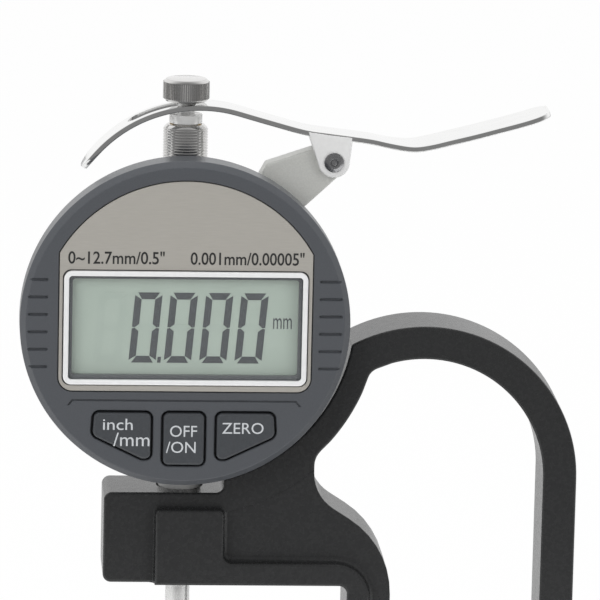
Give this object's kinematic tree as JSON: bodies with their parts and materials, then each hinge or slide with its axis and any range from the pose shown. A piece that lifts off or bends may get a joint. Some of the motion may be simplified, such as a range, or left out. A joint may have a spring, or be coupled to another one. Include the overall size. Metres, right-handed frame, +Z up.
{
  "type": "digital thickness gauge",
  "caption": "Hand-held digital thickness gauge: round indicator with a display and keys on a C-frame with a D-handle, flat anvils and a finger lever that lifts the spindle.",
  "frame": {"origin": "on the spindle's axis, at the flat underside of the frame's lower arm", "axes": "+Z up along the spindle from the lower anvil to the dial, +Y from the dial's face to the back, +X from the spindle to the handle"},
  "size_m": [0.1029, 0.0216, 0.145],
  "materials": {
    "black_paint": "satin powder coat",
    "shell_plastic": "fine matte moulding",
    "key_plastic": "matte",
    "inner_plastic": "matte",
    "rubber": "matte",
    "satin_silver": "satin",
    "plate_silver": "brushed",
    "chrome": "polished",
    "glass": "clear",
    "display": "smooth",
    "steel": "turned and ground",
    "brass": "machined",
    "board": "coated board"
  },
  "bodies": {
    "frame": {"frame_casting": "black_paint", "front_shell": "shell_plastic", "battery_cover": "shell_plastic", "battery_holder": "inner_plastic", "guide_rail": "inner_plastic", "keypad_mat": "rubber", "rear_housing": "satin_silver", "rear_cover": "satin_silver", "lever_bracket": "satin_silver", "face_plate": "plate_silver", "display_frame": "chrome", "display_window": "glass", "lcd_module": "display", "stem": "steel", "top_collar": "steel", "lower_anvil": "steel", "anvil_set_screw": "steel", "stem_clamp_screw": "steel", "board_screw_1": "steel", "board_screw_2": "steel", "board_screw_3": "steel", "case_screw_1": "steel", "case_screw_2": "steel", "case_screw_3": "steel", "case_screw_4": "steel", "foot_screw_1": "steel", "foot_screw_2": "steel", "battery": "steel", "lower_bush": "brass", "upper_bush": "brass", "battery_contact": "brass", "circuit_board": "board", "sensor_board": "board"},
    "spindle_train": {"spindle": "steel", "lifting_cap": "steel", "upper_anvil": "steel", "guide_block": "brass", "guide_pin": "steel", "measuring_scale": "board", "return_spring": "steel"},
    "lever": {"lift_lever": "chrome", "lever_pin": "steel"},
    "unit_key": {"unit_button": "key_plastic"},
    "power_key": {"power_button": "key_plastic"},
    "zero_key": {"zero_button": "key_plastic"}
  },
  "joints": [
    {"name": "spindle_slide", "type": "slide", "parent": "frame", "child": "spindle_train", "axis": [0, 0, 1], "range_m": [0, 0.0127], "stiffness_N_per_m": 50, "springref_m": -0.02, "deforming": ["return_spring"]},
    {"name": "lever_lift", "type": "hinge", "parent": "frame", "child": "lever", "pos_m": [0.027, 0, 0.1304], "axis": [0, 1, 0], "range_deg": [0, 27]},
    {"name": "unit_key_press", "type": "slide", "parent": "frame", "child": "unit_key", "axis": [0, 1, 0], "range_m": [0, 0.0005], "stiffness_N_per_m": 300, "springref_m": -0.0002},
    {"name": "power_key_press", "type": "slide", "parent": "frame", "child": "power_key", "axis": [0, 1, 0], "range_m": [0, 0.0005], "stiffness_N_per_m": 300, "springref_m": -0.0002},
    {"name": "zero_key_press", "type": "slide", "parent": "frame", "child": "zero_key", "axis": [0, 1, 0], "range_m": [0, 0.0005], "stiffness_N_per_m": 300, "springref_m": -0.0002}
  ],
  "couplings": [
    {"joint": "lever_lift", "follows": "spindle_slide", "rad_per_m": 36.95}
  ]
}
